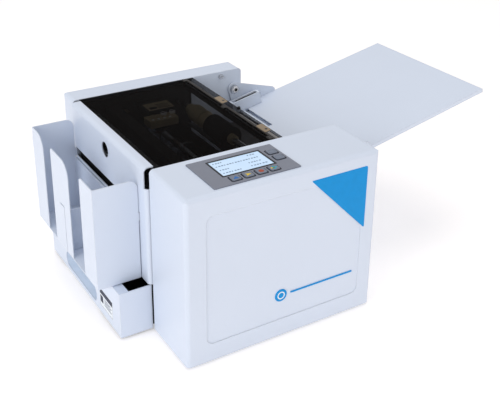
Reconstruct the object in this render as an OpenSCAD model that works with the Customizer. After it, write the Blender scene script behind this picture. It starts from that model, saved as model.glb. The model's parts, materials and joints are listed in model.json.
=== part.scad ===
// Desktop sheet-fed card cutter: sheets go in over the sloped tray (+X end),
// are slit and cut to cards inside, and drop into the two-pocket card tray (-X end).
// Origin: floor level, centre of the overall footprint. +X infeed end, -Y operator side, +Z up.

/* [Body] */
// Length of the side covers along the paper path
body_l = 252; // [248:1:260]
// Depth of the front cover, which holds the electronics
front_cover_w = 84; // [82:1:88]
// Depth of the rear cover
rear_cover_w = 35; // [35:1:38]
// Overall width across both covers
total_w = 348; // [346:1:352]
// Height of the covers above the floor
top_h = 212; // [210:1:216]
// Rounding of the covers' outer edges
cover_r = 5; // [3:0.5:6]

/* [Card tray] */
// How far the card tray stands out from the exit end
card_reach = 59; // [57:1:62]
// Height of the card tray's side plates
card_tray_top = 192; // [185:1:194]
// Height of the divider between the two pockets
divider_top = 122; // [100:1:130]

/* [Infeed tray] */
// How far the infeed tray stands out from the covers
infeed_reach = 249; // [240:1:260]
// Slope of the infeed tray in degrees
infeed_slope = 12.4; // [10:0.1:14]
// Height of the infeed tray's surface at its root
infeed_root_z = 151.4; // [148:0.1:153]

/* [Waste bin] */
// How far the bin stands out from the exit end
bin_reach = 41; // [30:1:45]
// Height of the bin's fascia
bin_top = 63; // [60:0.5:63]

/* [Cutting head] */
// Downward travel of the upper blade
blade_stroke = 8; // [6:0.5:8]
// Height of the paper path through the cutting head
path_z = 150; // [150:0.5:150.5]
// Radius of the feed drum
drum_r = 15; // [13:0.5:15]

/* [Hidden] */
$fn = 64;

foot_h = 4;
cover_z0 = 3;
sheet_t = 1.2;
cover_t = 2;
plate_t = 2;
run_fit = 0.05;
gap = 0.3;

exit_x = card_reach - (card_reach + body_l + infeed_reach) / 2;
front_y = -total_w / 2;

// Channel between the two covers, measured from the front face.
chan_y0 = front_cover_w + 2;
chan_y1 = total_w - rear_cover_w;
chan_mid = (chan_y0 + chan_y1) / 2;

// Chassis side plates, just inside the covers' open sides.
plate_f0 = front_cover_w - 4;
plate_r0 = chan_y1 + 2.5;
plate_r1 = plate_r0 + plate_t;

// Shaft centres as [distance from exit face, height].
feed_c = [152, 167 + drum_r];
slit_up_c = [105, path_z + 12];
slit_low_c = [105, path_z - 12];
exit_up_c = [18, path_z + 6.3];
exit_low_c = [18, path_z - 6.3];
cam_c = [55, 100];
motor_c = [152, 100];
lid_axis = [158.5, 209.9];
tray_pivot = [239.4, 183.6];
lift_hinge = [226, 146.4];
lift_tip_z = 168.3;

slit_shaft_r = 4;
exit_shaft_r = 3;
cam_shaft_r = 6;
roller_r = 6;
pulley_r = 8;
belt_t = 1.4;
belt_w = 4;
lane_a = 72;
lane_b = 66;
lane_c = 60;

cam_low = 12;
cam_high = cam_low + blade_stroke;
cam_play = 0.6;
yoke_w = 5;
yoke_f0 = chan_y0 + 0.5;
yoke_r0 = chan_y1 - 6.5;
spring_top = 180;
spring_low = 135;
spring_x = 71;

gear_teeth = 24;
gear_module = 1;
gear_y0 = plate_r1 + 2;
gear_w = 7;

key_size = [11, 10];
fascia_t = 1.2;
key_spots = [[70, 18.2], [86.2, 18.2], [102.4, 18.2], [118.6, 18.2], [138.4, 54], [138.4, 38.4]];

lcd_span = [59.5, 26.6, 128, 66];

slot_z0 = 141;
slot_z1 = 153;
hook_z0 = 140;
hook_z1 = 150;
tray_back = 6;
tray_z0 = bin_top + 1.5;

infeed_x0 = 242;
lip_h = 4;
infeed_end = body_l + infeed_reach;
infeed_l = (infeed_end - infeed_x0 - lip_h * sin(infeed_slope)) / cos(infeed_slope);
guide_u0 = -11;
guide_u1 = 36;
guide_h = 19;
guide_slot_u = [6, 12];

// ---- placing and drawing helpers ----

// Everything inside is measured from the exit face and the front face.
module placed() {
    translate([exit_x, front_y, 0]) children();
}

module block(x0, x1, y0, y1, z0, z1) {
    translate([x0, y0, z0]) cube([x1 - x0, y1 - y0, z1 - z0]);
}

// Extrudes an outline drawn in [x, z] along Y.
module along_y(y0, y1) {
    translate([0, y1, 0]) rotate([90, 0, 0]) linear_extrude(y1 - y0) children();
}

// Extrudes an outline drawn in [y, z] along X.
module along_x(x0, x1) {
    translate([x0, 0, 0]) rotate([90, 0, 90]) linear_extrude(x1 - x0) children();
}

module rod(c, r, y0, y1) {
    along_y(y0, y1) translate(c) circle(r);
}

module rounded_rect(x0, y0, x1, y1, r) {
    translate([x0 + r, y0]) square([x1 - x0 - 2 * r, y1 - y0]);
    translate([x0, y0 + r]) square([x1 - x0, y1 - y0 - 2 * r]);
    for (x = [x0 + r, x1 - r], y = [y0 + r, y1 - r]) translate([x, y]) circle(r);
}

// Rectangle with its two top corners rounded; a radius of 0 leaves a square corner.
module top_rounded_rect(x0, y0, x1, y1, r_low, r_high) {
    translate([x0, y0]) square([x1 - x0, y1 - y0 - max(r_low, r_high)]);
    translate([x0 + r_low, y0]) square([x1 - x0 - r_low - r_high, y1 - y0]);
    if (r_low > 0) {
        translate([x0, y0]) square([r_low, y1 - y0 - r_low]);
        translate([x0 + r_low, y1 - r_low]) circle(r_low);
    }
    if (r_high > 0) {
        translate([x1 - r_high, y0]) square([r_high, y1 - y0 - r_high]);
        translate([x1 - r_high, y1 - r_high]) circle(r_high);
    }
}

// Belt outline around two equal pulleys.
module capsule(p, q, r) {
    d = q - p;
    n = [-d[1], d[0]] / norm(d) * r;
    translate(p) circle(r);
    translate(q) circle(r);
    polygon([p + n, p - n, q - n, q + n]);
}

module belt(p, q, y0) {
    along_y(y0, y0 + belt_w) difference() {
        capsule(p, q, pulley_r + gap + belt_t);
        capsule(p, q, pulley_r + gap);
    }
}

module gear_outline(phase) {
    pitch_r = gear_teeth * gear_module / 2;
    root_r = pitch_r - 1.25 * gear_module;
    tip_r = pitch_r + 0.9 * gear_module;
    step = 360 / gear_teeth;
    function at(r, a) = [r * cos(a), r * sin(a)];
    polygon([
        for (i = [0:gear_teeth - 1])
            for (corner = [[root_r, -0.3], [tip_r, -0.13], [tip_r, 0.13], [root_r, 0.3]])
                at(corner[0], (i + corner[1]) * step + phase)
    ]);
}

// ---- covers and chassis ----

module front_cover() color([0.84, 0.87, 0.92]) placed() difference() {
    union() {
        difference() {
            intersection() {
                along_y(0, front_cover_w) top_rounded_rect(0, cover_z0, body_l, top_h, cover_r, cover_r);
                along_x(0, body_l) top_rounded_rect(0, cover_z0, front_cover_w, top_h, cover_r, 0);
                translate([0, 0, cover_z0]) linear_extrude(top_h)
                    difference() {
                        rounded_rect(0, 0, body_l, front_cover_w + cover_r, cover_r);
                        translate([-1, front_cover_w]) square([body_l + 2, cover_r + 1]);
                    }
            }
            block(cover_t, body_l - cover_t, cover_t, front_cover_w + 1, cover_z0 - 1, top_h - cover_t);
        }
        block(174, body_l - cover_t, front_cover_w - 1.5, front_cover_w, cover_z0 + 3, top_h - cover_t);
    }
    // Shallow pressed panel on the front face.
    translate([0, 0.8, 0]) rotate([90, 0, 0]) linear_extrude(2) rounded_rect(24.5, 25.5, 231, 187, 9);
    // Window under the control fascia.
    block(46, 146, 11, 68, top_h - 5, top_h + 1);
    // Bore for the tray pivot stud.
    rod(tray_pivot, 3, front_cover_w - 3, front_cover_w + 1);
}

module rear_cover() color([0.84, 0.87, 0.92]) placed() difference() {
    union() {
        difference() {
            intersection() {
                along_y(chan_y1, total_w) top_rounded_rect(0, cover_z0, body_l, top_h, cover_r, cover_r);
                along_x(0, body_l) top_rounded_rect(chan_y1, cover_z0, total_w, top_h, 0, cover_r);
                translate([0, 0, cover_z0]) linear_extrude(top_h)
                    difference() {
                        rounded_rect(0, chan_y1 - cover_r, body_l, total_w, cover_r);
                        translate([-1, chan_y1 - cover_r - 1]) square([body_l + 2, cover_r + 1]);
                    }
            }
            block(cover_t, body_l - cover_t, chan_y1 - 1, total_w - cover_t, cover_z0 - 1, top_h - cover_t);
        }
        block(172, body_l - cover_t, chan_y1, chan_y1 + 1.5, cover_z0 + 3, top_h - cover_t);
    }
    rod(tray_pivot, 3, chan_y1 - 1, chan_y1 + 3);
    // Seats of the inlet and the rocker switch.
    block(body_l - 3, body_l + 1, 320, 342, 28, 58);
    block(body_l - 3, body_l + 1, 324, 338, 68, 90);
    // Cooling slots.
    for (i = [0:9]) block(60 + 14 * i, 67 + 14 * i, total_w - 3, total_w + 1, 30, 33);
    for (i = [0:9]) block(60 + 14 * i, 67 + 14 * i, total_w - 3, total_w + 1, 38, 41);
}

module end_cover() color([0.82, 0.85, 0.91]) placed() difference() {
    union() {
        // Lower part with its two side returns.
        translate([0, 0, bin_top + 1]) linear_extrude(187 - bin_top - 1) difference() {
            rounded_rect(-4, chan_y0, 20, chan_y1 - 0.5, 5);
            rounded_rect(-2.5, chan_y0 + 1.5, 22, chan_y1 - 2, 3.5);
            translate([6, chan_y0 - 1]) square([20, chan_y1]);
        }
        // Top part with the bend over the edge of the lid.
        along_y(chan_y0 + 5, chan_y1 - 5.5) difference() {
            rounded_rect(-4, 160, 20, top_h - 0.3, 6);
            rounded_rect(-2.5, 150, 22, top_h - 1.8, 4.5);
            translate([8.5, 150]) square([20, 80]);
            translate([-5, 150]) square([20, 37]);
        }
    }
    along_x(-6, 0) translate([chan_mid, 190]) circle(9.75);
    block(-6, 0, 108, 300, slot_z0, slot_z1);
    block(-6, 0, 104, 106.8, hook_z0 - 1, hook_z1 + 1);
    block(-6, 0, 301.2, 304, hook_z0 - 1, hook_z1 + 1);
}

module base_pan() color([0.6, 0.62, 0.64]) placed() union() {
    block(3, body_l - 3, 3, total_w - 3, foot_h, foot_h + 1.5);
    block(3, body_l - 3, 3, 4.5, foot_h + 1.5, 22);
    block(3, body_l - 3, total_w - 4.5, total_w - 3, foot_h + 1.5, 22);
    // End wall below the infeed tray, between the covers.
    block(body_l - 4.5, body_l - 3, front_cover_w + 0.5, chan_y1 - 0.5, foot_h + 1.5, 140);
}

module rubber_feet() color([0.08, 0.08, 0.08]) placed()
    for (x = [25, body_l - 25], y = [28, total_w - 22])
        translate([x, y, 0]) cylinder(r = 10, h = foot_h);

module shaft_holes(y0, y1) {
    rod(feed_c, slit_shaft_r + run_fit, y0, y1);
    rod(slit_up_c, slit_shaft_r + run_fit, y0, y1);
    rod(slit_low_c, slit_shaft_r + run_fit, y0, y1);
    rod(exit_up_c, exit_shaft_r + run_fit, y0, y1);
    rod(exit_low_c, exit_shaft_r + run_fit, y0, y1);
    rod(cam_c, cam_shaft_r + run_fit, y0, y1);
}

module side_plate(y0, y1) {
    difference() {
        along_y(y0, y1) top_rounded_rect(6, foot_h + 1.5, 246, 204, 12, 12);
        shaft_holes(y0 - 1, y1 + 1);
        rod(tray_pivot, 3, y0 - 1, y1 + 1);
        along_y(y0 - 1, y1 + 1) rounded_rect(170, 30, 225, 120, 8);
    }
}

module side_plate_front() color([0.52, 0.54, 0.56]) placed() side_plate(plate_f0, plate_f0 + plate_t);

module side_plate_rear() color([0.52, 0.54, 0.56]) placed() side_plate(plate_r0, plate_r1);

module tie_bars() color([0.7, 0.71, 0.73]) placed() union() {
    for (c = [[22, 196], [16, 100]]) rod(c, 4, plate_f0 + plate_t, plate_r0);
    for (c = [[205, 140], [232, 80]]) rod(c, 4, front_cover_w, chan_y1);
}

module hinge_beam() color([0.1, 0.09, 0.09]) placed() {
    ends = [[chan_y0 + 1, chan_y0 + 9], [chan_mid - 4, chan_mid + 4], [chan_y1 - 9, chan_y1 - 1]];
    difference() {
        union() {
            block(161.5, 165, chan_y0, chan_y1 - 0.5, 198, top_h - 0.4);
            block(161.5, 165, plate_f0 + plate_t, plate_r0, 198, 203);
            for (e = ends) block(lid_axis[0], 162, e[0], e[1], lid_axis[1] - 2, lid_axis[1] + 2);
            for (e = ends) rod(lid_axis, 2.3, e[0], e[1]);
        }
        rod(lid_axis, 1, chan_y0 - 5, total_w);
    }
}

module lid_pin() color([0.6, 0.6, 0.62]) placed() rod(lid_axis, 1, chan_y0 + 1, chan_y1 - 1);

module lid_strip() color([0.12, 0.1, 0.1, 0.7]) placed()
    block(165, 174, chan_y0, chan_y1 - 0.5, top_h - 3.4, top_h - 0.4);

module lid_window() color([0.1, 0.08, 0.08, 0.7]) placed() difference() {
    union() {
        block(9, 155.8, chan_y0, chan_y1 - 0.5, top_h - 3.3, top_h - 0.3);
        for (e = [[chan_y0 + 9.4, chan_mid - 4.4], [chan_mid + 4.4, chan_y1 - 9.4]]) {
            rod(lid_axis, 2.3, e[0], e[1]);
            block(155.6, lid_axis[0], e[0], e[1], lid_axis[1] - 1.2, lid_axis[1] + 1.8);
        }
    }
    rod(lid_axis, 1 + run_fit, chan_y0 - 5, total_w);
}

module cover_screws() color([0.75, 0.76, 0.78]) placed()
    for (c = [[219, 205], [186, 40], [240, 40]]) difference() {
        rod(c, 3.6, chan_y1 - 2, chan_y1);
        block(c[0] - 4, c[0] + 4, chan_y1 - 3, chan_y1 - 1.2, c[1] - 0.5, c[1] + 0.5);
    }

// ---- control panel ----

module key_windows(grow) {
    for (k = key_spots)
        rounded_rect(k[0] - key_size[0] / 2 - grow, k[1] - key_size[1] / 2 - grow,
                     k[0] + key_size[0] / 2 + grow, k[1] + key_size[1] / 2 + grow, 2);
}

module control_fascia() color([0.5, 0.52, 0.57]) placed()
    translate([0, 0, top_h]) linear_extrude(fascia_t) difference() {
        rounded_rect(39, 8, 148, 73.5, 1);
        key_windows(gap);
        translate([lcd_span[0], lcd_span[1]])
            square([lcd_span[2] - lcd_span[0], lcd_span[3] - lcd_span[1]]);
    }

module lcd_bezel() color([0.05, 0.05, 0.06]) placed() difference() {
    block(lcd_span[0], lcd_span[2], lcd_span[1], lcd_span[3], top_h - 8, top_h + fascia_t + 0.3);
    block(lcd_span[0] + 2, lcd_span[2] - 2, lcd_span[1] + 2, lcd_span[3] - 2, top_h - 1, top_h + 5);
}

module lcd_screen() color([0.76, 0.86, 0.95]) placed()
    block(lcd_span[0] + 2, lcd_span[2] - 2, lcd_span[1] + 2, lcd_span[3] - 2,
          top_h - 1, top_h + fascia_t - 0.1);

module key(i) {
    k = key_spots[i];
    color([0.48, 0.51, 0.57]) placed() translate([k[0], k[1], top_h]) {
        linear_extrude(fascia_t + 1)
            rounded_rect(-key_size[0] / 2, -key_size[1] / 2, key_size[0] / 2, key_size[1] / 2, 1.8);
        translate([0, 0, -1.4]) linear_extrude(1.4 - 0.05)
            rounded_rect(-key_size[0] / 2 - 0.8, -key_size[1] / 2 - 0.8,
                         key_size[0] / 2 + 0.8, key_size[1] / 2 + 0.8, 1);
        translate([0, 0, -0.1]) linear_extrude(0.2) square(6, center = true);
        translate([0, 0, -8]) cylinder(r = 2, h = 7);
    }
}

module key_1() key(0);

module key_2() key(1);

module key_3() key(2);

module key_4() key(3);

module key_5() key(4);

module key_6() key(5);

module control_board() color([0.1, 0.35, 0.2]) placed() union() {
    block(47, 144, 11.5, 67.5, top_h - 13, top_h - 11.4);
    for (k = key_spots) translate([k[0], k[1], top_h - 11.4]) cylinder(r = 2.6, h = 2.3);
    block(lcd_span[0] + 4, lcd_span[2] - 4, 40, 52, top_h - 11.4, top_h - 8);
    for (x = [52, 139]) translate([x, 24, top_h - 11.4]) cylinder(r = 2, h = 11.4);
}

module main_board() color([0.1, 0.35, 0.2]) placed() union() {
    block(20, 140, plate_f0 - 8, plate_f0 - 6.4, 10, 62);
    for (x = [26, 134], z = [15, 57]) rod([x, z], 2.5, plate_f0 - 6.4, plate_f0);
    for (i = [0:3]) block(34 + 24 * i, 48 + 24 * i, plate_f0 - 12, plate_f0 - 8, 20, 34);
    block(40, 90, plate_f0 - 16, plate_f0 - 8, 44, 52);
}

module power_supply() color([0.72, 0.73, 0.75]) placed() difference() {
    block(160, 244, 10, 72, foot_h + 1.5, 52);
    for (i = [0:6]) block(168 + 10 * i, 173 + 10 * i, 20, 62, 50, 53);
}

// Mains socket with the switch frame above it, one moulding.
module mains_inlet() color([0.06, 0.06, 0.06]) placed() union() {
    difference() {
        block(body_l - 20, body_l, 320, 342, 28, 58);
        block(body_l - 16, body_l + 1, 323.5, 338.5, 31.5, 54.5);
    }
    for (z = [37, 43, 49]) block(body_l - 16, body_l - 4, 329, 331, z - 1, z + 1);
    difference() {
        block(body_l - 18, body_l, 324, 338, 68, 90);
        block(body_l - 16, body_l + 1, 324.6, 337.4, 68.6, 89.4);
    }
    rod([body_l - 9, 79], 1.5, 324, 338);
}

module power_rocker() color([0.05, 0.05, 0.05]) placed() difference() {
    intersection() {
        block(body_l - 12, body_l + 1.5, 325, 337, 70, 88);
        rod([body_l - 10, 79], 11.2, 320, 342);
    }
    rod([body_l - 9, 79], 1.5 + run_fit, 320, 342);
}

// ---- drives ----

module feed_motor() color([0.15, 0.15, 0.16]) placed() difference() {
    union() {
        rod(motor_c, 21, 14, 56);
        along_y(50, 52) rounded_rect(motor_c[0] - 26, motor_c[1] - 26, motor_c[0] + 26, motor_c[1] + 26, 6);
        for (c = [[-20, -20], [20, -20], [20, 20]]) rod(motor_c + c, 3, 52, plate_f0);
    }
    rod(motor_c, 2.5 + run_fit, 50, 60);
}

module motor_pulley() color([0.75, 0.75, 0.77]) placed() union() {
    rod(motor_c, 2.5, 51, plate_f0 - 1);
    rod(motor_c, pulley_r, lane_b, lane_b + belt_w);
    rod(motor_c, pulley_r, lane_c, lane_c + belt_w);
}

module drive_belts() color([0.07, 0.07, 0.07]) placed() union() {
    belt(motor_c, slit_low_c, lane_b);
    belt(motor_c, feed_c, lane_c);
    belt(slit_low_c, exit_low_c, lane_a);
}

module cutter_motor() color([0.07, 0.06, 0.06]) placed() union() {
    block(85, 127, 266, 296, 178, 195);
    block(85, 127, 296, plate_r0, 188, 191);
    block(98, 118, 296, 302, 180, 188);
}

module terminal_block() color([0.5, 0.46, 0.38]) placed() difference() {
    block(78, 118, 246, 266, 180, 190);
    for (x = [84, 92, 100, 108]) translate([x, 256, 186]) cylinder(r = 2.5, h = 5);
}

module cam_motor() color([0.15, 0.15, 0.16]) placed() difference() {
    union() {
        rod(cam_c, 23, 12, 66);
        rod(cam_c, 15, 66, 72);
        along_y(60, 62) rounded_rect(cam_c[0] - 27, cam_c[1] - 27, cam_c[0] + 27, cam_c[1] + 27, 6);
        for (x = [-22, 22], z = [-22, 22])
            rod([cam_c[0] + x, cam_c[1] + z], 3, 62, plate_f0);
    }
    rod(cam_c, cam_shaft_r + run_fit, 55, 80);
}

// ---- feed ----

module feed_shaft() color([0.6, 0.6, 0.62]) placed() union() {
    rod(feed_c, slit_shaft_r, lane_c - 2, plate_r1 + 3);
    rod(feed_c, pulley_r, lane_c, lane_c + belt_w);
}

module feed_drum() color([0.03, 0.03, 0.03]) placed() difference() {
    rod(feed_c, drum_r, 168, 215);
    rod(feed_c, slit_shaft_r, 160, 220);
}

module feed_collars() color([0.45, 0.41, 0.34]) placed() difference() {
    union() {
        rod(feed_c, 6.5, 160, 168);
        rod(feed_c, 10, 215, 236);
        rod(feed_c, 12, 236, 262);
        rod(feed_c, 8, 262, 277);
    }
    rod(feed_c, slit_shaft_r, 150, 280);
}

module lift_plate() color([0.62, 0.63, 0.65]) placed() difference() {
    union() {
        along_y(130, 268) polygon([
            [lift_hinge[0], lift_hinge[1] + 2], [lift_hinge[0], lift_hinge[1] + 3.2],
            [140, lift_tip_z], [140, lift_tip_z - sheet_t]
        ]);
        for (y = [130, 262]) rod(lift_hinge, 3.2, y, y + 6);
    }
    rod(lift_hinge, 2 + run_fit, 120, 280);
}

module paper_bed() color([0.66, 0.67, 0.69]) placed() union() {
    inner0 = plate_f0 + plate_t;
    bed_z0 = path_z - 2;
    bed_z1 = path_z - 0.8;
    block(119, 130, inner0, plate_r0, bed_z0, bed_z1);
    along_y(inner0, plate_r0) polygon([[130, bed_z0], [138, 163], [138, 164.2], [130, bed_z1]]);
    block(61, 91, 94, 305, bed_z0, bed_z1);
    block(78, 91, inner0, plate_r0, bed_z0, bed_z1);
    block(28, 43.5, 94, 305, bed_z0, bed_z1);
    block(28, 33, inner0, plate_r0, bed_z0, bed_z1);
    block(2, 11, 108, 300, path_z - 3.2, bed_z0);
    block(2, 3.2, 108, 300, 120, path_z - 3.2);
    block(3.2, 10, 108, 300, 120, 124);
    block(6.5, 10, inner0, plate_r0, 120, 124);
    rod(lift_hinge, 2, front_cover_w, chan_y1);
}

module lower_blade() color([0.72, 0.73, 0.76]) placed() union() {
    block(50, 60.5, 92.5, 305.5, 136, path_z);
    block(51, 60, plate_f0 + plate_t, 92.5, 137, 147);
    block(51, 60, 305.5, plate_r0, 137, 147);
}

// ---- slitters ----

blade_y = [101, 149, 199.5, 250, 298];

module slitter_upper() color([0.62, 0.63, 0.66]) placed() union() {
    rod(slit_up_c, slit_shaft_r, plate_f0 - 2, gear_y0 + gear_w);
    for (y = blade_y) {
        rod(slit_up_c, 12.6, y - 1, y + 1);
        rod(slit_up_c, 8, y + 1, y + 9);
    }
    along_y(gear_y0, gear_y0 + gear_w) translate(slit_up_c) gear_outline(-90);
}

module slitter_lower() color([0.55, 0.56, 0.6]) placed() union() {
    rod(slit_low_c, slit_shaft_r, lane_b - 1, gear_y0 + gear_w);
    for (y = blade_y) {
        rod(slit_low_c, 12, y + 1.4, y + 6);
        rod(slit_low_c, 12, y - 6, y - 1.4);
    }
    rod(slit_low_c, pulley_r, lane_b, lane_b + belt_w);
    rod(slit_low_c, pulley_r, lane_a, lane_a + belt_w);
    along_y(gear_y0, gear_y0 + gear_w) translate(slit_low_c) gear_outline(90 + 180 / gear_teeth);
}

// ---- exit rollers ----

roller_y = [114 : 24 : 290];

module exit_upper() color([0.5, 0.51, 0.53]) placed() union() {
    rod(exit_up_c, exit_shaft_r, plate_f0 - 2, plate_r1 + 2);
    for (y = roller_y) rod(exit_up_c, roller_r, y, y + 8);
}

module exit_lower() color([0.4, 0.41, 0.43]) placed() union() {
    rod(exit_low_c, exit_shaft_r, lane_a - 1, plate_r1 + 2);
    for (y = roller_y) rod(exit_low_c, roller_r, y, y + 8);
    rod(exit_low_c, pulley_r, lane_a, lane_a + belt_w);
}

// ---- cross cutter ----

function cam_radius(t) =
    t <= 180 ? cam_low + blade_stroke * t / 180 :
    t <= 200 ? cam_high :
    t <= 330 ? cam_high - blade_stroke * (t - 200) / 130 :
    cam_low;

module cams() color([0.66, 0.62, 0.5]) placed() difference() {
    for (y0 = [yoke_f0, yoke_r0])
        along_y(y0 + 0.5, y0 + yoke_w - 0.5) translate(cam_c)
            polygon([for (t = [0:6:354]) cam_radius(t) * [cos(t - 90), sin(t - 90)]]);
    rod(cam_c, cam_shaft_r, 0, total_w);
}

module cam_shaft() color([0.6, 0.6, 0.62]) placed() rod(cam_c, cam_shaft_r, 56, plate_r1 + 3);

module yoke(y0) {
    pad_z = cam_c[1] - cam_low - cam_play;
    roof_z = cam_c[1] + cam_high + blade_stroke + 1;
    difference() {
        union() {
            block(30, 80, y0, y0 + yoke_w, pad_z - 9, roof_z + 6);
            block(44.2, 49.6, y0, y0 + yoke_w, roof_z, 178);
        }
        block(34, 76, y0 - 1, y0 + yoke_w + 1, pad_z, roof_z);
    }
}

module blade_beam() color([0.14, 0.13, 0.13]) placed() union() {
    block(44.2, 60, yoke_f0, yoke_r0 + yoke_w, 178, 195);
    yoke(yoke_f0);
    yoke(yoke_r0);
}

module upper_blade() color([0.75, 0.76, 0.79]) placed()
    along_x(44.4, 49.6) polygon([
        [yoke_f0 + yoke_w + 1, 178], [yoke_f0 + yoke_w + 1, path_z + 1],
        [yoke_r0 - 1, path_z + 5], [yoke_r0 - 1, 178]
    ]);

module beam_guides() color([0.6, 0.58, 0.5]) placed() union() {
    for (y = [[plate_f0 + plate_t, yoke_f0 + yoke_w], [yoke_r0, plate_r0]]) {
        block(25, 30 - gap, y[0], y[1], 92, 124);
        block(80 + gap, 85, y[0], y[1], 92, 124);
        block(66, 76, y[0], y[1], spring_top, spring_top + 4);
    }
}

module return_springs() color([0.7, 0.7, 0.72]) placed() union() {
    for (y = [yoke_f0 + yoke_w / 2, yoke_r0 + yoke_w / 2])
        translate([spring_x, y, spring_low]) difference() {
            cylinder(r = 2.4, h = spring_top - spring_low);
            translate([0, 0, -1]) cylinder(r = 1.6, h = spring_top - spring_low + 2);
        }
}

// ---- card tray ----

module card_tray() color([0.84, 0.87, 0.92]) placed() union() {
    for (y = [105, 303 - sheet_t]) {
        along_y(y, y + sheet_t)
            top_rounded_rect(-card_reach, tray_z0, -tray_back + 1, card_tray_top, 0, 11);
        block(-tray_back + 1, 1, y, y + sheet_t, hook_z0, hook_z1);
    }
    along_x(-card_reach, -card_reach + sheet_t) {
        top_rounded_rect(105 + sheet_t, tray_z0, 143, card_tray_top, 0, 5);
        top_rounded_rect(265, tray_z0, 303 - sheet_t, card_tray_top, 20, 0);
    }
    block(-tray_back - sheet_t + 1, -tray_back + 1, 105 + sheet_t, 303 - sheet_t, tray_z0, 138);
    block(-card_reach, -tray_back + 1 - sheet_t, 105 + sheet_t, 303 - sheet_t, tray_z0, tray_z0 + sheet_t);
}

module tray_tongue() color([0.84, 0.87, 0.92]) placed() difference() {
    along_x(-card_reach, -card_reach + sheet_t)
        top_rounded_rect(181, tray_z0 + sheet_t, 237, 190, 20, 4);
    block(-card_reach - 1, -card_reach + 3, 200, 201.6, 67, 127);
    block(-card_reach - 1, -card_reach + 3, 200, 214, 125.4, 127);
}

module tray_divider() color([0.84, 0.87, 0.92]) placed()
    along_y(198, 198 + sheet_t)
        top_rounded_rect(-card_reach + sheet_t, tray_z0 + sheet_t,
                         -tray_back + 1 - sheet_t, divider_top, 0, 0);

// ---- waste bin ----

module bin_fascia() color([0.84, 0.87, 0.92]) placed() difference() {
    union() {
        block(-bin_reach, -bin_reach + 1.5, chan_y0 + 1, chan_y1 - 1, cover_z0, bin_top);
        for (y = [chan_y0 + 1, chan_y1 - 2.5])
            block(-bin_reach + 1.5, -0.5, y, y + 1.5, cover_z0, bin_top);
        block(-bin_reach + 1.5, -bin_reach + 12, chan_y0 + 2.5, chan_y1 - 2.5, bin_top - 1.5, bin_top);
    }
    along_x(-bin_reach - 1, -bin_reach + 3) capsule([170, 19], [252, 19], 11);
}

module bin_box() color([0.03, 0.03, 0.03]) placed() difference() {
    block(-bin_reach + 13, 140, chan_y0 + 3, chan_y1 - 3, 7, 60);
    block(-bin_reach + 15, 138, chan_y0 + 5, chan_y1 - 5, 9, 70);
}

module finger_cup() color([0.6, 0.68, 0.8]) placed() difference() {
    block(-bin_reach + 1.5, -bin_reach + 13, 155, 267, 5, 34);
    along_x(-bin_reach, -bin_reach + 11.5) capsule([170, 19], [252, 19], 11);
}

// ---- infeed tray ----

// Height of the sloped sheet's upper face at a distance from the exit face.
function deck_z(x) = infeed_root_z + (x - infeed_x0) * tan(infeed_slope) + sheet_t / cos(infeed_slope);

// Local frame of the sloped tray: x runs up the slope, z is normal to the sheet.
module on_slope() {
    translate([infeed_x0, 0, infeed_root_z]) rotate([0, -infeed_slope, 0]) children();
}

module infeed_tray() color([0.84, 0.87, 0.92]) placed() on_slope() difference() {
    y0 = chan_y0 + 0.5;
    y1 = chan_y1 - 1;
    union() {
        linear_extrude(sheet_t) translate([0, y0]) square([infeed_l, y1 - y0]);
        block(12, infeed_l, y0, y0 + sheet_t, -lip_h, 0);
        block(12, infeed_l, y1 - sheet_t, y1, -lip_h, 0);
        block(infeed_l - sheet_t, infeed_l, y0 + sheet_t, y1 - sheet_t, -lip_h, 0);
    }
    for (y = [[y0 + 6, 170], [230, y1 - 6]])
        block(guide_slot_u[0], guide_slot_u[1], y[0], y[1], -1, 3);
}

module tray_ear(y0) {
    difference() {
        along_y(y0, y0 + 1.5) {
            translate(tray_pivot) circle(9);
            polygon([
                tray_pivot + [-8, -4], tray_pivot + [1, 9], [306, 174], [309, 171],
                [309, deck_z(309)], [246, deck_z(246)], [236, 163]
            ]);
        }
        rod(tray_pivot, 3 + run_fit, y0 - 1, y0 + 3);
    }
}

module tray_ears() color([0.86, 0.89, 0.94]) placed() union() {
    tray_ear(chan_y0 + 0.8);
    tray_ear(chan_y1 - 2.6);
}

module tray_pivots() color([0.72, 0.73, 0.75]) placed() union() {
    rod(tray_pivot, 3, plate_f0, chan_y0 + 3);
    rod(tray_pivot, 6, chan_y0 + 3, chan_y0 + 6);
    rod(tray_pivot, 3, chan_y1 - 3.4, plate_r1);
    rod(tray_pivot, 6, chan_y1 - 6.4, chan_y1 - 3.4);
}

module side_guide(y0, y1) {
    on_slope() union() {
        difference() {
            block(guide_u0, guide_u1, y0, y1, sheet_t + gap, guide_h);
            block(guide_u0 + 3, guide_u1 - 3, y0 + 1.5, y1 - 1.5, 8, guide_h + 1);
        }
        block(guide_slot_u[0] + gap, guide_slot_u[1] - gap, (y0 + y1) / 2 - 3, (y0 + y1) / 2 + 3,
              -2, sheet_t + gap);
        block(guide_slot_u[0] - 3, guide_slot_u[1] + 3, (y0 + y1) / 2 - 3, (y0 + y1) / 2 + 3,
              -3, -gap);
    }
}

module side_guide_rear() color([0.9, 0.92, 0.95]) placed() side_guide(295, 305);

module side_guide_front() color([0.9, 0.92, 0.95]) placed() side_guide(94, 104);

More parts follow.
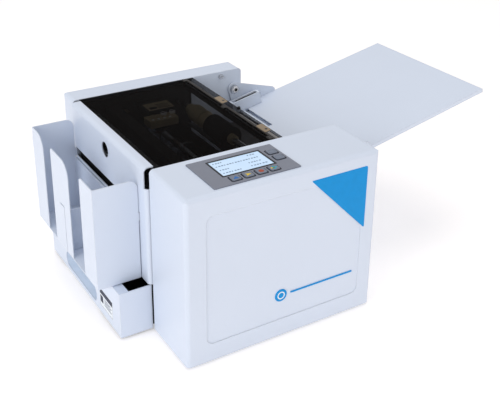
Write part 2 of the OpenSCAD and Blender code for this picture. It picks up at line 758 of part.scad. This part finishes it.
front_cover();
rear_cover();
end_cover();
base_pan();
side_plate_front();
side_plate_rear();
tie_bars();
rubber_feet();
hinge_beam();
lid_strip();
lid_window();
lid_pin();
control_fascia();
lcd_bezel();
lcd_screen();
key_1();
key_2();
key_3();
key_4();
key_5();
key_6();
control_board();
main_board();
power_supply();
mains_inlet();
power_rocker();
feed_motor();
motor_pulley();
drive_belts();
cutter_motor();
terminal_block();
cam_motor();
feed_shaft();
feed_drum();
feed_collars();
lift_plate();
paper_bed();
lower_blade();
slitter_upper();
slitter_lower();
exit_upper();
exit_lower();
blade_beam();
upper_blade();
beam_guides();
return_springs();
cam_shaft();
cams();
card_tray();
tray_tongue();
tray_divider();
bin_fascia();
bin_box();
finger_cup();
infeed_tray();
tray_ears();
tray_pivots();
side_guide_rear();
side_guide_front();
cover_screws();
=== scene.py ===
"""Looks of the desktop card cutter: camera, studio, materials and printed or trim detail."""
import json
import math

import bpy
from mathutils import Matrix, Vector


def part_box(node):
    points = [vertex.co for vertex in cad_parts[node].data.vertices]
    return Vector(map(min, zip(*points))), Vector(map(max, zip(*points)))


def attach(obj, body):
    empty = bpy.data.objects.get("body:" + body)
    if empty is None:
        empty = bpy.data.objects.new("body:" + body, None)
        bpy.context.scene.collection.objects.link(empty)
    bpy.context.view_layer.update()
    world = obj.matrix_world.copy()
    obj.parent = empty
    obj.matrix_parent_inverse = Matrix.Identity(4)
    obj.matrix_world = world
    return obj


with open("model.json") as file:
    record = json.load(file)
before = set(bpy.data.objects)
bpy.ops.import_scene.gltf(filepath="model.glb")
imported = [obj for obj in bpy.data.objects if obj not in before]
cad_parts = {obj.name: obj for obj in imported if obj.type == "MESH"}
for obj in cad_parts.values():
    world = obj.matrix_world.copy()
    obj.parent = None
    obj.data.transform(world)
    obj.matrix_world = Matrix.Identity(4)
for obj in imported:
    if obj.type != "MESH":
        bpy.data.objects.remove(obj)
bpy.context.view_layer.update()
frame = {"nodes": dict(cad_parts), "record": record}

MM = 0.001
COVER_LOW, COVER_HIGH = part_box("front_cover")
X_AXIS = Vector((1, 0, 0))
Y_AXIS = Vector((0, 1, 0))
Z_AXIS = Vector((0, 0, 1))


def at(x, y, z):
    """A place in millimetres from the exit end, the front face and the floor."""
    return Vector((COVER_LOW.x + x * MM, COVER_LOW.y + y * MM, z * MM))


TOP = COVER_HIGH.z / MM
TRAY_SLOPE = math.radians(12.4)
UP_TRAY = Vector((math.cos(TRAY_SLOPE), 0, math.sin(TRAY_SLOPE)))
TRAY_ROOT = at(242, 0, 151.4)


# ---- camera, floor and light ----


def make_camera():
    """A long lens from the front left, above, looking down at the machine."""
    azimuth, down, roll = (math.radians(a) for a in (31.57, 23.39, 0.76))
    level = math.cos(down)
    forward = Vector((math.sin(azimuth) * level, math.cos(azimuth) * level, -math.sin(down)))
    right = forward.cross(Z_AXIS).normalized()
    up = right.cross(forward)
    turned_right = math.cos(roll) * right + math.sin(roll) * up
    turned_up = math.cos(roll) * up - math.sin(roll) * right
    data = bpy.data.cameras.new("camera")
    data.lens = 62.98
    data.shift_y = -0.16
    camera = bpy.data.objects.new("camera", data)
    turn = Matrix((turned_right, turned_up, -forward)).transposed().to_4x4()
    camera.matrix_world = Matrix.Translation(at(-350.5, -694.3, 638.7)) @ turn
    bpy.context.scene.collection.objects.link(camera)
    bpy.context.scene.camera = camera


def area_light(name, place, target, size, power, colour):
    data = bpy.data.lights.new(name, "AREA")
    data.shape = "DISK"
    data.size = size
    data.energy = power
    data.color = colour
    light = bpy.data.objects.new(name, data)
    light.location = place
    light.rotation_mode = "QUATERNION"
    light.rotation_quaternion = (Vector(target) - Vector(place)).to_track_quat("-Z", "Y")
    bpy.context.scene.collection.objects.link(light)


def make_studio():
    """A bright room, three soft lights and a white floor that glows a little."""
    world = bpy.data.worlds.new("studio")
    bpy.context.scene.world = world
    world.use_nodes = True
    world.node_tree.nodes["Background"].inputs["Color"].default_value = (0.98, 0.985, 1.0, 1)
    world.node_tree.nodes["Background"].inputs["Strength"].default_value = 0.6
    area_light("key", (0.6, -2.4, 1.6), (0, 0, 0.1), 1.6, 6, (1.0, 1.0, 1.0))
    area_light("fill", (-2.6, -0.9, 1.2), (0, 0, 0.1), 1.4, 21, (0.92, 0.96, 1.0))
    area_light("top", (0.1, 0.3, 2.5), (0, 0, 0.1), 1.8, 14, (1.0, 0.98, 0.97))
    mesh = bpy.data.meshes.new("floor")
    mesh.from_pydata([(-6, -6, 0), (6, -6, 0), (6, 6, 0), (-6, 6, 0)], [], [(0, 1, 2, 3)])
    floor = bpy.data.objects.new("floor", mesh)
    bpy.context.scene.collection.objects.link(floor)
    mat = bpy.data.materials.new("floor")
    mat.use_nodes = True
    shader = mat.node_tree.nodes["Principled BSDF"]
    shader.inputs["Base Color"].default_value = (0.99, 0.945, 0.92, 1)
    shader.inputs["Emission Color"].default_value = (1, 1, 1, 1)
    shader.inputs["Emission Strength"].default_value = 0.27
    shader.inputs["Roughness"].default_value = 0.9
    shader.inputs["Specular IOR Level"].default_value = 0.1
    mesh.materials.append(mat)
    bpy.context.scene.view_settings.view_transform = "Standard"


# ---- materials ----


def linear(colour):
    """An sRGB colour from 0 to 1 as linear RGBA."""
    return tuple(((c + 0.055) / 1.055) ** 2.4 if c > 0.04045 else c / 12.92 for c in colour) + (1.0,)


def shade(colour, factor):
    return tuple(min(1.0, c * factor) for c in colour)


class Surface:
    """A principled material with grain, blotches, roughness variation and tinted edges: rubbed wear on some,
    a painted highlight on the enamel.
    """

    def __init__(self, name, colour, rough, metal=0.0):
        self.material = bpy.data.materials.new(name)
        self.material.use_nodes = True
        self.tree = self.material.node_tree
        self.shader = self.tree.nodes["Principled BSDF"]
        self.shader.inputs["Metallic"].default_value = metal
        self.rough = rough
        self.colour = colour
        self.coords = self.add("ShaderNodeTexCoord").outputs["Object"]
        self.base = self.rgb(colour)
        self.normal = None

    def add(self, kind):
        return self.tree.nodes.new(kind)

    def link(self, source, target):
        self.tree.links.new(source, target)

    def rgb(self, colour):
        node = self.add("ShaderNodeRGB")
        node.outputs[0].default_value = linear(colour)
        return node.outputs[0]

    def noise(self, scale, detail=3.0, stretch=None):
        source = self.coords
        if stretch:
            mapping = self.add("ShaderNodeMapping")
            mapping.inputs["Scale"].default_value = stretch
            self.link(source, mapping.inputs["Vector"])
            source = mapping.outputs["Vector"]
        node = self.add("ShaderNodeTexNoise")
        node.inputs["Scale"].default_value = scale
        node.inputs["Detail"].default_value = detail
        self.link(source, node.inputs["Vector"])
        return node.outputs["Fac"]

    def ramp(self, value, low, high, to_low=0.0, to_high=1.0):
        node = self.add("ShaderNodeMapRange")
        for key, number in zip(("From Min", "From Max", "To Min", "To Max"), (low, high, to_low, to_high)):
            node.inputs[key].default_value = number
        self.link(value, node.inputs["Value"])
        return node.outputs["Result"]

    def tint(self, mask, colour):
        """Mixes a colour over the base where the mask is 1."""
        node = self.add("ShaderNodeMix")
        node.data_type = "RGBA"
        self.link(mask, node.inputs["Factor"])
        self.link(self.base, node.inputs["A"])
        self.link(self.rgb(colour), node.inputs["B"])
        self.base = node.outputs["Result"]

    def blotches(self, scale, amount):
        self.tint(self.ramp(self.noise(scale, 4.0), 0.35, 0.75, 0.0, amount), shade(self.colour, 0.72))

    def soft_edges(self, radius):
        node = self.add("ShaderNodeBevel")
        node.samples = 6
        node.inputs["Radius"].default_value = radius
        self.normal = node.outputs["Normal"]

    def edge_wear_and_highlight(self, colour, amount):
        """Lightens or darkens the edges, where the rounded normal leaves the flat one: a painted highlight on
        the white enamel, rubbed wear on the black oxide.
        """
        flat = self.add("ShaderNodeNewGeometry").outputs["Normal"]
        dot = self.add("ShaderNodeVectorMath")
        dot.operation = "DOT_PRODUCT"
        self.link(self.normal, dot.inputs[0])
        self.link(flat, dot.inputs[1])
        self.tint(self.ramp(dot.outputs["Value"], 0.995, 0.86, 0.0, amount), colour)

    def bump(self, height, depth, strength=1.0):
        node = self.add("ShaderNodeBump")
        node.inputs["Distance"].default_value = depth
        node.inputs["Strength"].default_value = strength
        self.link(height, node.inputs["Height"])
        if self.normal:
            self.link(self.normal, node.inputs["Normal"])
        self.normal = node.outputs["Normal"]

    def finish(self, rough_scale=40.0, rough_spread=0.08):
        low, high = max(0.02, self.rough - rough_spread), min(1.0, self.rough + rough_spread)
        grain = self.ramp(self.noise(rough_scale, 5.0), 0.3, 0.7, low, high)
        self.link(grain, self.shader.inputs["Roughness"])
        self.link(self.base, self.shader.inputs["Base Color"])
        if self.normal:
            self.link(self.normal, self.shader.inputs["Normal"])
        return self.material


def enamel():
    s = Surface("white_enamel", (0.85, 0.883, 0.94), 0.42)
    s.shader.inputs["Coat Weight"].default_value = 0.15
    s.shader.inputs["Coat Roughness"].default_value = 0.3
    s.blotches(7.0, 0.05)
    s.soft_edges(0.0011)
    # Painted highlight: the rounded edges of the enamel are tinted near-white where light would catch them.
    s.edge_wear_and_highlight((0.97, 0.98, 1.0), 0.45)
    s.bump(s.noise(1500.0, 2.0), 0.00005, 0.35)
    return s.finish(60.0, 0.06)


def sheet_steel():
    s = Surface("sheet_steel", (0.6, 0.61, 0.62), 0.38, 1.0)
    s.blotches(12.0, 0.1)
    s.soft_edges(0.0004)
    s.edge_wear_and_highlight((0.8, 0.8, 0.8), 0.4)
    s.bump(s.noise(900.0, 3.0, (1, 0.05, 1)), 0.00003, 0.4)
    return s.finish(120.0, 0.12)


def ground_steel():
    s = Surface("ground_steel", (0.74, 0.745, 0.76), 0.24, 1.0)
    s.blotches(50.0, 0.15)
    s.soft_edges(0.0003)
    s.bump(s.noise(2500.0, 2.0, (1, 0.02, 1)), 0.00002, 0.5)
    return s.finish(200.0, 0.08)


def blade_steel():
    s = Surface("blade_steel", (0.8, 0.81, 0.83), 0.2, 1.0)
    s.soft_edges(0.0002)
    s.bump(s.noise(3000.0, 2.0, (0.03, 1, 1)), 0.00002, 0.5)
    s.blotches(60.0, 0.2)
    return s.finish(150.0, 0.06)


def black_oxide():
    s = Surface("black_oxide", (0.12, 0.1, 0.095), 0.5, 0.2)
    s.blotches(25.0, 0.3)
    s.soft_edges(0.0004)
    s.edge_wear_and_highlight((0.4, 0.38, 0.36), 0.5)
    s.bump(s.noise(1200.0), 0.00004, 0.5)
    return s.finish()


def smoked_sheet():
    s = Surface("smoked_sheet", (0.03, 0.02, 0.018), 0.07)
    s.shader.inputs["Alpha"].default_value = 0.58
    s.shader.inputs["Specular IOR Level"].default_value = 0.008
    s.blotches(18.0, 0.25)
    s.soft_edges(0.0005)
    s.bump(s.noise(9.0, 1.0), 0.0002, 0.15)
    s.material.surface_render_method = "BLENDED"
    return s.finish(90.0, 0.04)


def rubber():
    s = Surface("rubber", (0.075, 0.072, 0.07), 0.72)
    s.blotches(60.0, 0.3)
    s.soft_edges(0.0005)
    s.bump(s.noise(1800.0, 4.0), 0.0001, 0.6)
    return s.finish(200.0, 0.1)


def black_plastic():
    s = Surface("black_plastic", (0.055, 0.052, 0.055), 0.5)
    s.blotches(40.0, 0.3)
    s.soft_edges(0.0004)
    s.edge_wear_and_highlight((0.2, 0.2, 0.2), 0.4)
    s.bump(s.noise(2200.0, 2.0), 0.00005, 0.6)
    return s.finish(150.0, 0.08)


def fascia_film():
    s = Surface("fascia_film", (0.5, 0.515, 0.565), 0.46)
    s.blotches(15.0, 0.1)
    s.soft_edges(0.0003)
    s.bump(s.noise(2600.0, 2.0), 0.00004, 0.5)
    return s.finish(120.0, 0.05)


def key_plastic():
    s = Surface("key_plastic", (0.47, 0.5, 0.56), 0.5)
    s.blotches(80.0, 0.15)
    s.soft_edges(0.0006)
    s.edge_wear_and_highlight((0.62, 0.65, 0.7), 0.5)
    s.bump(s.noise(2400.0, 2.0), 0.00005, 0.5)
    return s.finish(160.0, 0.06)


def beige_plastic():
    s = Surface("beige_plastic", (0.78, 0.71, 0.57), 0.5)
    s.blotches(50.0, 0.15)
    s.soft_edges(0.0005)
    s.edge_wear_and_highlight((0.75, 0.7, 0.6), 0.4)
    s.bump(s.noise(1500.0), 0.00005, 0.5)
    return s.finish()


def display_glass():
    s = Surface("display_glass", (0.77, 0.86, 0.95), 0.16)
    s.tint(s.ramp(s.noise(45.0, 2.0), 0.35, 0.7, 0.0, 0.35), (0.68, 0.8, 0.93))
    s.shader.inputs["Coat Weight"].default_value = 0.6
    s.shader.inputs["Emission Color"].default_value = linear((0.77, 0.87, 0.97))
    s.shader.inputs["Emission Strength"].default_value = 0.25
    return s.finish(80.0, 0.03)


def circuit_board():
    s = Surface("circuit_board", (0.1, 0.34, 0.2), 0.35)
    brick = s.add("ShaderNodeTexBrick")
    brick.inputs["Scale"].default_value = 160.0
    brick.inputs["Mortar Size"].default_value = 0.03
    s.link(s.coords, brick.inputs["Vector"])
    s.tint(s.ramp(brick.outputs["Fac"], 0.0, 1.0, 0.0, 0.6), (0.3, 0.55, 0.3))
    s.soft_edges(0.0003)
    s.bump(brick.outputs["Fac"], 0.0001, 0.4)
    return s.finish(140.0, 0.08)


def cup_plastic():
    s = Surface("cup_plastic", (0.88, 0.92, 0.97), 0.35)
    s.blotches(30.0, 0.2)
    s.soft_edges(0.0006)
    s.bump(s.noise(1400.0), 0.00004, 0.4)
    return s.finish(100.0, 0.06)


def cam_brass():
    s = Surface("cam_brass", (0.74, 0.66, 0.44), 0.3, 1.0)
    s.blotches(60.0, 0.35)
    s.soft_edges(0.0003)
    s.bump(s.noise(1800.0, 3.0, (1, 0.04, 1)), 0.00003, 0.5)
    return s.finish(120.0, 0.1)


def ink(name, colour, rough=0.4):
    """A printed colour on film, with a faint screen of dots and gloss variation."""
    s = Surface(name, colour, rough)
    s.shader.inputs["Specular IOR Level"].default_value = 0.2
    s.blotches(120.0, 0.12)
    s.bump(s.noise(3000.0, 1.0), 0.00002, 0.4)
    return s.finish(200.0, 0.05)


MAT = {
    "white_enamel": enamel(), "steel_grey": sheet_steel(), "shaft_steel": ground_steel(),
    "blade_steel": blade_steel(), "black_metal": black_oxide(), "smoked_acrylic": smoked_sheet(),
    "rubber": rubber(), "black_plastic": black_plastic(), "grey_plastic": fascia_film(),
    "key_plastic": key_plastic(), "beige_plastic": beige_plastic(), "lcd_glass": display_glass(),
    "board": circuit_board(), "pale_plastic": cup_plastic(), "brass": cam_brass(),
}
INK = {
    "blue": ink("ink_blue", (0.0, 0.58, 0.86)),
    "white": ink("ink_white", (0.93, 0.95, 0.97)), "navy": ink("ink_navy", (0.1, 0.14, 0.25)),
    "grey": ink("ink_grey", (0.45, 0.48, 0.55)), "key_blue": ink("ink_key_blue", (0.2, 0.43, 0.7)),
    "yellow": ink("ink_yellow", (0.96, 0.82, 0.05)), "red": ink("ink_red", (0.66, 0.32, 0.24)),
    "green": ink("ink_green", (0.35, 0.62, 0.35)), "cyan": ink("ink_cyan", (0.1, 0.68, 0.78)),
    "lcd": ink("ink_lcd", (0.5, 0.58, 0.68)), "black": ink("ink_black", (0.12, 0.13, 0.17)),
    # A near-white matt ink put on steel screw heads and nuts in place of their metal: a painted highlight.
    "painted_glint": ink("ink_painted_glint", (0.93, 0.93, 0.94), 0.25), "tan": ink("ink_tan", (0.56, 0.49, 0.4)),
}


def dress_frame():
    """Gives each carried-over CAD node the material of its slot."""
    for part in frame["record"]["subparts"]:
        node = frame["nodes"][part["node"]]
        node.data.materials.clear()
        node.data.materials.append(MAT[part["material_slot"]])


# ---- shapes for printed and trim detail ----


def rounded(points, radius, steps=6):
    """A closed outline with its corners turned into arcs of about that radius."""
    out = []
    for i, corner in enumerate(points):
        corner = Vector(corner)
        before = Vector(points[i - 1]) - corner
        after = Vector(points[(i + 1) % len(points)]) - corner
        reach = min(radius, before.length * 0.45, after.length * 0.45)
        start = corner + before.normalized() * reach
        end = corner + after.normalized() * reach
        for k in range(steps + 1):
            t = k / steps
            out.append((1 - t) ** 2 * start + 2 * t * (1 - t) * corner + t ** 2 * end)
    return out


def rectangle(x0, y0, x1, y1, radius=0.5):
    return rounded([(x0, y0), (x1, y0), (x1, y1), (x0, y1)], radius)


def frame_outline(x0, y0, x1, y1, radius, band):
    outer = rectangle(x0, y0, x1, y1, radius)
    inner = rectangle(x0 + band, y0 + band, x1 - band, y1 - band, radius * 0.6)
    return outer, inner


def disc(x, y, r, steps=24):
    angles = [2 * math.pi * k / steps for k in range(steps)]
    return [Vector((x + r * math.cos(a), y + r * math.sin(a))) for a in angles]


class Trim:
    """A thin printed or fitted piece built of slabs on one plane, in millimetres."""

    def __init__(self, name, origin, across, up):
        self.name, self.origin = name, origin
        self.across, self.up = across, up
        self.out = across.cross(up)
        self.verts, self.faces, self.marks = [], [], []
        self.mats = []

    def place(self, p, lift):
        return self.origin + (self.across * p[0] + self.up * p[1] + self.out * lift) * MM

    def slot(self, material):
        if material not in self.mats:
            self.mats.append(material)
        return self.mats.index(material)

    def slab(self, outline, low, high, material):
        n, first, mark = len(outline), len(self.verts), self.slot(material)
        chamfer = min(0.25, (high - low) * 0.4)
        centre = sum((Vector(p) for p in outline), Vector((0, 0))) / n
        inner = [Vector(p) + (centre - Vector(p)).normalized() * chamfer for p in outline]
        for ring, lift in ((outline, low), (outline, high - chamfer), (inner, high)):
            self.verts += [self.place(p, lift) for p in ring]
        for a in (first, first + n):
            b = a + n
            for k in range(n):
                m = (k + 1) % n
                self.faces.append((a + k, a + m, b + m, b + k))
        self.faces.append(tuple(first + 2 * n + k for k in range(n)))
        self.faces.append(tuple(first + n - 1 - k for k in range(n)))
        self.marks += [mark] * (2 * n + 2)

    def ring(self, outer, inner, low, high, material):
        n, first, mark = len(outer), len(self.verts), self.slot(material)
        for ring, lift in ((outer, low), (outer, high), (inner, high), (inner, low)):
            self.verts += [self.place(p, lift) for p in ring]
        for level in range(4):
            a, b = first + level * n, first + ((level + 1) % 4) * n
            for k in range(n):
                m = (k + 1) % n
                self.faces.append((a + k, a + m, b + m, b + k))
        self.marks += [mark] * (4 * n)

    def make(self, body, slot):
        mesh = bpy.data.meshes.new(self.name)
        mesh.from_pydata(self.verts, [], self.faces)
        for material in self.mats:
            mesh.materials.append(material)
        mesh.polygons.foreach_set("material_index", self.marks)
        piece = bpy.data.objects.new(self.name, mesh)
        bpy.context.scene.collection.objects.link(piece)
        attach(piece, body)
        return piece


def on_front(name):
    """The front face, x to the right and z up."""
    return Trim(name, at(0, 0, 0), X_AXIS, Z_AXIS)


def on_top(name, height=TOP):
    return Trim(name, at(0, 0, height), X_AXIS, Y_AXIS)


def word(trim, place, length, height, span, material, letters):
    """A row of plain dashes where a line of print would be."""
    x, y = place
    step = length / letters
    for k in range(letters):
        wide = step * (0.72 if k % 3 else 0.5)
        trim.slab(rectangle(x + k * step, y, x + k * step + wide, y + height, 0.3), *span, material)


# ---- front cover print ----


def front_print():
    """A plain blue corner, and a ring with one plain line, on the front cover."""
    decal = on_front("corner_decal")
    decal.slab(rounded([(157, 195.4), (235.6, 195.4), (235.6, 114)], 3.0), -0.05, 0.25, INK["blue"])
    decal.make("chassis", "white_enamel")

    badge = on_front("front_badge")
    badge.slab(disc(121, 58, 8), -0.8, 0.0, INK["blue"])
    badge.ring(disc(121, 58, 5), disc(121, 58, 3.6), -0.05, 0.12, INK["white"])
    badge.slab(rectangle(134, 57, 222, 59, 0.9), -0.8, 0.0, INK["blue"])
    badge.make("chassis", "white_enamel")


# ---- control panel ----

KEY_CROSS = ((0, 2.4, "cyan"), (0, -2.4, "cyan"), (2.8, 0, "cyan"), (-2.8, 0, "yellow"), (0, 0, "green"))


def key_centre(index):
    low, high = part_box(f"key_{index}")
    return (low.x + high.x) / 2 / MM - COVER_LOW.x / MM, (low.y + high.y) / 2 / MM - COVER_LOW.y / MM


def key_icons():
    """A plain coloured sign on each key and a dark rim around it."""
    key_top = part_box("key_1")[1].z / MM
    for index in range(1, 7):
        x, y = key_centre(index)
        icon = on_top(f"key_icon_{index}", key_top)
        if index == 1:
            wedge = rounded([(x - 3.6, y - 2.6), (x + 3.8, y - 2.6), (x + 1.2, y + 2.8)], 0.4)
            icon.slab(wedge, 0, 0.12, INK["key_blue"])
        elif index == 2:
            dart = rounded([(x - 3.2, y + 2.6), (x - 1.4, y), (x - 3.2, y - 2.6), (x + 3.6, y)], 0.3)
            icon.slab(dart, 0, 0.12, INK["yellow"])
        elif index == 3:
            icon.slab(disc(x, y, 3.2, 8), 0, 0.12, INK["red"])
        elif index == 4:
            for dx, dy, name in KEY_CROSS:
                spot = rectangle(x + dx - 1.1, y + dy - 0.9, x + dx + 1.1, y + dy + 0.9, 0.3)
                icon.slab(spot, 0, 0.12, INK[name])
        else:
            outer, inner = frame_outline(x - 3.6, y - 3.2, x + 3.6, y + 3.2, 1.2, 0.5)
            icon.ring(outer, inner, 0, 0.1, INK["grey"])
        icon.make(f"key{index}", "key_plastic")

    rims = on_top("key_rims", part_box("control_fascia")[1].z / MM)
    for index in range(1, 7):
        x, y = key_centre(index)
        outer, inner = frame_outline(x - 7, y - 6.5, x + 7, y + 6.5, 2.6, 1.15)
        rims.ring(outer, inner, -0.1, 0.14, INK["black"])
    rims.make("chassis", "grey_plastic")


def display_print():
    low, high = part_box("lcd_screen")
    left, front = (low.x - COVER_LOW.x) / MM, (low.y - COVER_LOW.y) / MM
    wide, deep = (high.x - low.x) / MM, (high.y - low.y) / MM
    text = on_top("display_print", high.z / MM)
    rows = ((0.05, 0.83, 0.2, 4), (0.74, 0.85, 0.16, 3), (0.05, 0.62, 0.86, 16),
            (0.05, 0.36, 0.2, 4), (0.62, 0.38, 0.26, 5), (0.05, 0.14, 0.38, 7), (0.6, 0.16, 0.34, 6))
    for across, along, length, count in rows:
        start = (left + across * wide, front + along * deep)
        word(text, start, length * wide, 2.0, (0, 0.06), INK["lcd"], count)
    text.make("chassis", "lcd_glass")


# ---- lid interior ----


def interior_trim():
    low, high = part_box("cutter_motor")
    label = on_top("motor_label", high.z / MM)
    x0, y0 = (low.x - COVER_LOW.x) / MM, (low.y - COVER_LOW.y) / MM
    label.slab(rectangle(x0 + 3, y0 + 3, x0 + 39, y0 + 27, 1), 0, 0.3, MAT["beige_plastic"])
    label.slab(rectangle(x0 + 6, y0 + 6, x0 + 16, y0 + 13, 0.6), 0.3, 0.42, INK["black"])
    for k in range(4):
        y, right = y0 + 6 + 4 * k, x0 + 35 - 3 * (k % 2)
        label.slab(rectangle(x0 + 18, y, right, y + 1.2, 0.3), 0.3, 0.42, INK["black"])
    label.make("chassis", "beige_plastic")

    screws = on_top("motor_screws", 190)
    # The screw heads in this piece are near-white matt print instead of steel: a painted glint.
    for x in (104.4, 117.0):
        screws.slab(disc(x, 262, 4.2), 0, 2.6, INK["painted_glint"])
        # Painted shade: a black bar on the head where the screwdriver slot lies in shade.
        screws.slab(rectangle(x - 3.2, 261.4, x + 3.2, 262.6, 0.2), 2.6, 3.0, INK["black"])
    for x in (84, 92, 100, 108):
        screws.slab(disc(x, 250.5, 1.8), 0, 0.8, INK["painted_glint"])
    screws.make("chassis", "shaft_steel")

    brackets = on_top("strip_brackets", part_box("lid_strip")[1].z / MM)
    for y in (222, 118):
        plate = rounded([(163, y - 12), (173, y - 9), (173, y + 12), (163, y + 10)], 2)
        brackets.slab(plate, -0.05, 0.35, INK["tan"])
        brackets.slab(disc(169, y - 4, 1.8), 0.3, 0.45, INK["black"])
    brackets.make("chassis", "beige_plastic")


# ---- infeed tray trim ----


def pivot_nuts():
    """A hexagon nut with a dark bore on each tray pivot."""
    low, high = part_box("tray_pivots")
    x = ((low.x + high.x) / 2 - COVER_LOW.x) / MM
    z = (low.z + high.z) / 2 / MM
    for name, y, across in (("pivot_nut_rear", 306.6, X_AXIS), ("pivot_nut_front", 92.0, -X_AXIS)):
        nut = Trim(name, at(x, y, z), across, Z_AXIS)
        # The nut face is near-white matt print instead of steel: a painted glint.
        nut.slab(disc(0, 0, 4.6, 6), -0.05, 1.6, INK["painted_glint"])
        nut.slab(disc(0, 0, 2.3), 1.55, 2.6, MAT["black_metal"])
        nut.make("chassis", "shaft_steel")


def guide_channels():
    """Shallow boxes under the tray that the feet of the side guides run in."""
    for name, y0, y1 in (("guide_channel_front", 90.5, 172), ("guide_channel_rear", 228, 308)):
        channel = Trim(name, TRAY_ROOT, UP_TRAY, Y_AXIS)
        outer, inner = frame_outline(1.5, y0, 16.5, y1, 1.2, 0.8)
        channel.ring(outer, inner, -4.6, 0, MAT["white_enamel"])
        channel.slab(outer, -5.4, -4.6, MAT["white_enamel"])
        channel.make("feed_tray", "white_enamel")


# ---- bin label and guide trim ----


def bin_label():
    """A small plain data label on the bin's fascia, with a bar, a block and four dashes."""
    corner = Vector((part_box("bin_fascia")[0].x, COVER_LOW.y, 0))
    label = Trim("bin_label", corner, -Y_AXIS, Z_AXIS)
    label.slab(rectangle(-148, 14, -109, 39, 1), -0.05, 0.15, INK["white"])
    label.slab(rectangle(-147.3, 31.5, -109.7, 38.2, 0.6), 0.1, 0.22, INK["navy"])
    label.slab(rectangle(-146, 20, -138, 29.5, 0.6), 0.1, 0.22, INK["navy"])
    for k in range(4):
        z, right = 20 + 2.6 * k, -113 - 3 * (k % 2)
        label.slab(rectangle(-134, z, right, z + 1.1, 0.3), 0.1, 0.22, INK["grey"])
    outer, inner = frame_outline(-147.4, 14.6, -109.6, 38.4, 0.8, 0.4)
    label.ring(outer, inner, 0.1, 0.2, INK["grey"])
    label.make("bin", "white_enamel")


def guide_trim():
    """A black top pad and a black peg on each side guide."""
    for name, body in (("side_guide_rear", "guide_rear"), ("side_guide_front", "guide_front")):
        low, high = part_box(name)
        middle = (low.y + high.y) / 2
        inward = -1 if name.endswith("rear") else 1
        pad = Trim(name.replace("side_guide", "guide_pad"), Vector((high.x, middle, high.z)), UP_TRAY, Y_AXIS)
        pad.slab(rectangle(-41, -3, -2, 3, 1), -5.0, -1.2, MAT["black_plastic"])
        pad.make(body, "black_plastic")
        peg = Trim(name.replace("side_guide", "guide_peg"), Vector((low.x, middle, low.z)), UP_TRAY, Y_AXIS)
        peg.slab(disc(12, inward * 7.5, 2.4), 7.5, 10.5, MAT["black_plastic"])
        peg.make(body, "black_plastic")


make_camera()
make_studio()
dress_frame()
front_print()
key_icons()
display_print()
interior_trim()
bin_label()
guide_trim()
pivot_nuts()
guide_channels()
